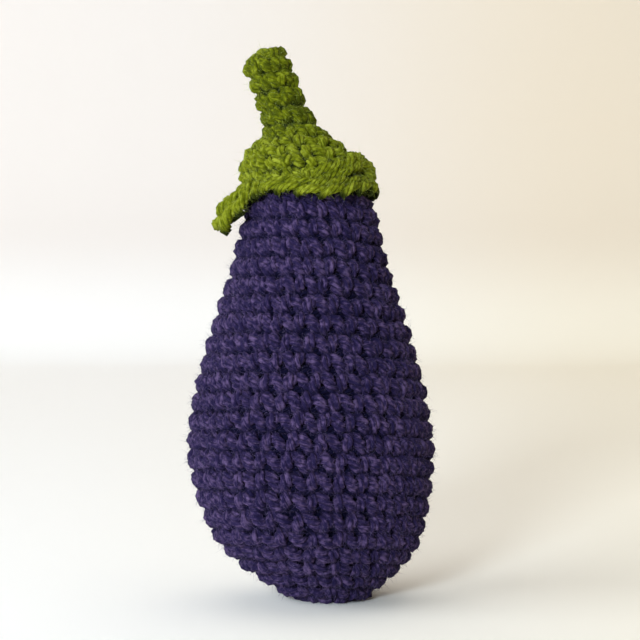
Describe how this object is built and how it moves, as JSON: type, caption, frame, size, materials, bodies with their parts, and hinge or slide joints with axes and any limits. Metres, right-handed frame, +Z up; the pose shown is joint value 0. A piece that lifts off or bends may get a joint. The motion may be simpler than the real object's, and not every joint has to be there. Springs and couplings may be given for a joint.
{
  "type": "crocheted toy eggplant",
  "caption": "Stuffed crocheted eggplant that stands on its flattened base: purple pear-shaped body, green pointed cap and leaning stem.",
  "frame": {"origin": "middle of the flattened spot that the toy stands on", "axes": "+Z up, along the toy's length; the stem leans towards -X, and the pictured side faces -Y"},
  "size_m": [0.0564, 0.0564, 0.1257],
  "materials": {
    "purple_yarn": "matte, hairy worsted yarn, heathered",
    "fibre_filling": "loose white fibre",
    "green_yarn": "matte, hairy worsted yarn, heathered"
  },
  "bodies": {
    "root": {"body_cover": "purple_yarn", "stuffing": "fibre_filling", "cap_and_stem": "green_yarn"}
  },
  "joints": []
}
